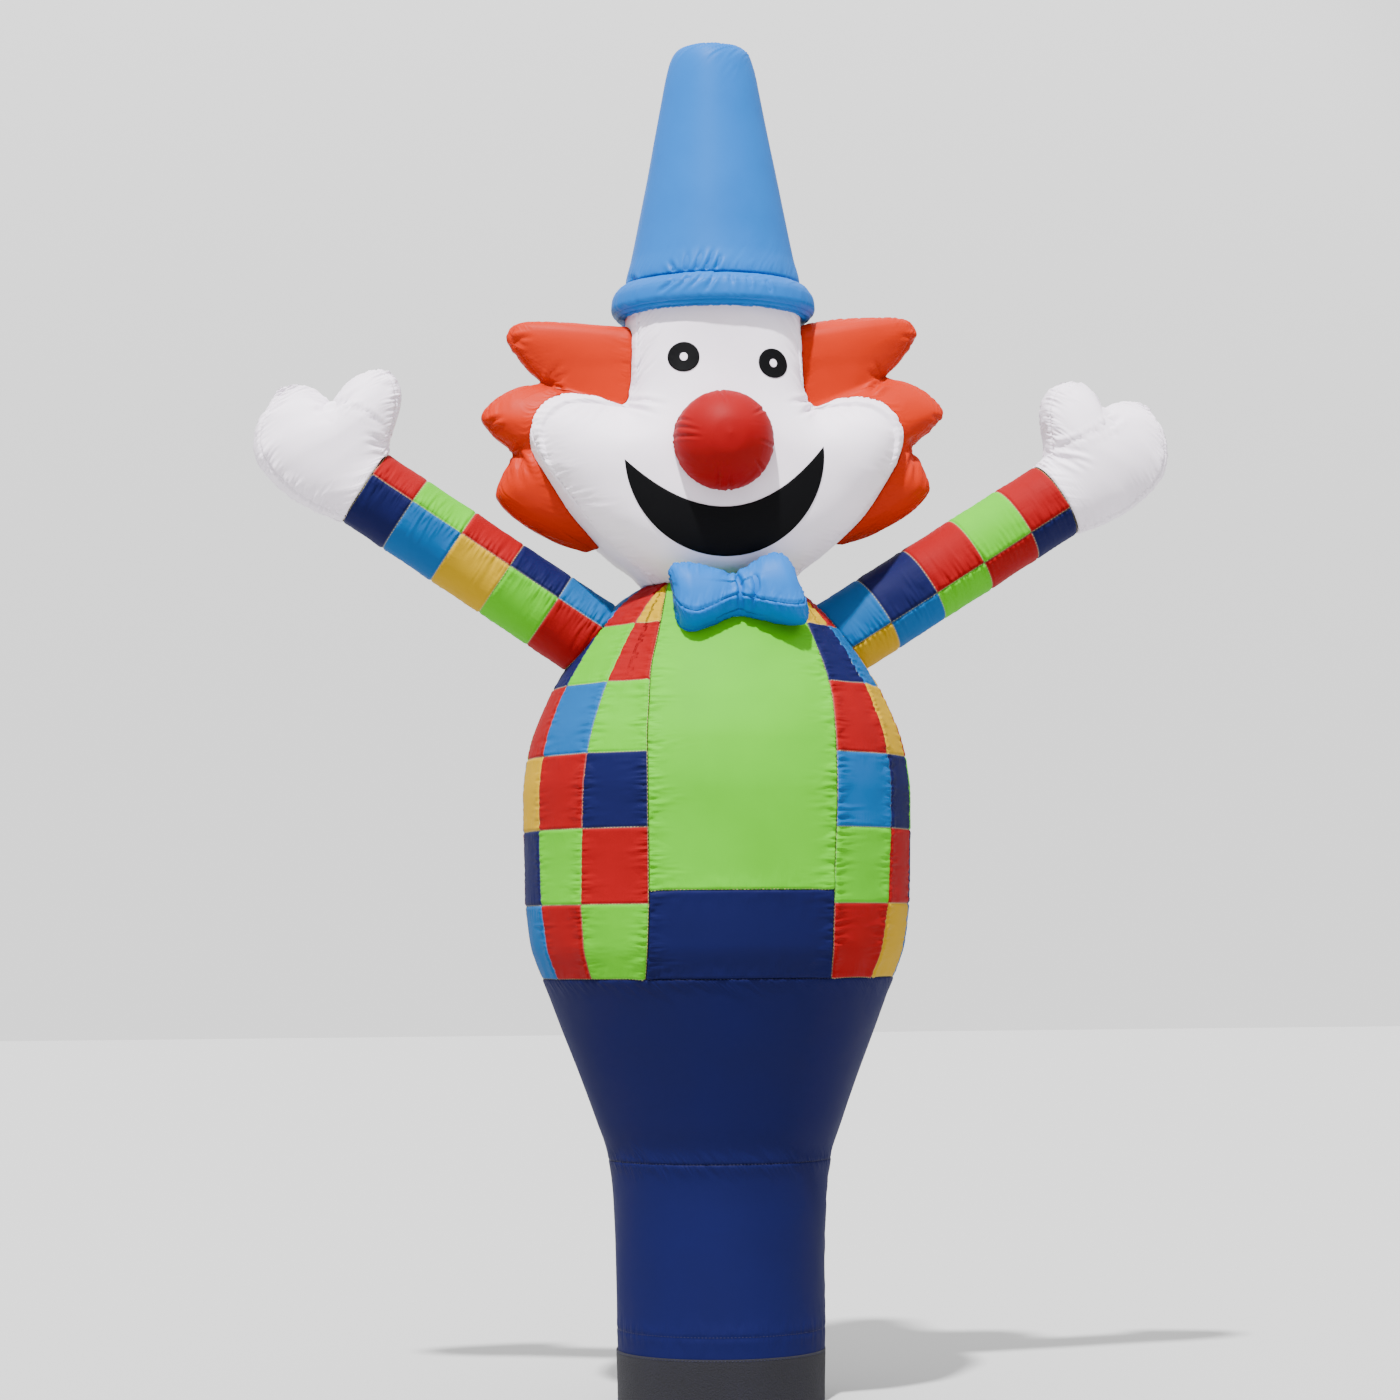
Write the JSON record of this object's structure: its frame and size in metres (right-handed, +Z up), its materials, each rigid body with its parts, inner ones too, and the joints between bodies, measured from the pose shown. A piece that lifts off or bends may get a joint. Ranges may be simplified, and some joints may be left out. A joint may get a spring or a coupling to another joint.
{
  "type": "inflatable air dancer",
  "caption": "Tall inflated cloth figure of a clown on a hollow tube foot, arms raised, with a cone hat, spiked hair, round nose, bow tie and patchwork sides.",
  "frame": {"origin": "middle of the bottom hem, on the surface that it stands on", "axes": "+Z up, the face looks towards -Y, +X to the right of someone who faces it"},
  "size_m": [2.0841, 0.8689, 3.05],
  "materials": {
    "navy_cloth": "navy coated nylon oxford, slight sheen",
    "closure_tape": "dark hook-and-loop tape, matt",
    "lime_cloth": "lime coated nylon oxford, slight sheen",
    "patchwork_cloth": "squares of red, navy, lime, blue and gold nylon oxford, sewn together",
    "white_cloth": "white coated nylon oxford, slight sheen",
    "black_cloth": "black nylon, sewn on flat",
    "red_cloth": "red coated nylon oxford, slight sheen",
    "orange_cloth": "orange coated nylon oxford, slight sheen",
    "blue_cloth": "sky blue coated nylon oxford, slight sheen"
  },
  "bodies": {
    "root": {"base_sleeve": "navy_cloth", "closure_band": "closure_tape", "trousers": "navy_cloth", "waist_panel": "navy_cloth", "belly_panel": "lime_cloth", "patchwork_left": "patchwork_cloth", "patchwork_right": "patchwork_cloth", "sleeve_left": "patchwork_cloth", "sleeve_right": "patchwork_cloth", "hand_left": "white_cloth", "hand_right": "white_cloth", "face_panel": "white_cloth", "head_side_left": "white_cloth", "head_side_right": "white_cloth", "head_back": "white_cloth", "mouth": "black_cloth", "eye_left": "black_cloth", "eye_right": "black_cloth", "pupil_left": "white_cloth", "pupil_right": "white_cloth", "nose": "red_cloth", "hair_left": "orange_cloth", "hair_right": "orange_cloth", "bow_tie": "blue_cloth", "hat_brim": "blue_cloth", "hat_crown": "blue_cloth", "hat_top": "blue_cloth"}
  },
  "joints": []
}
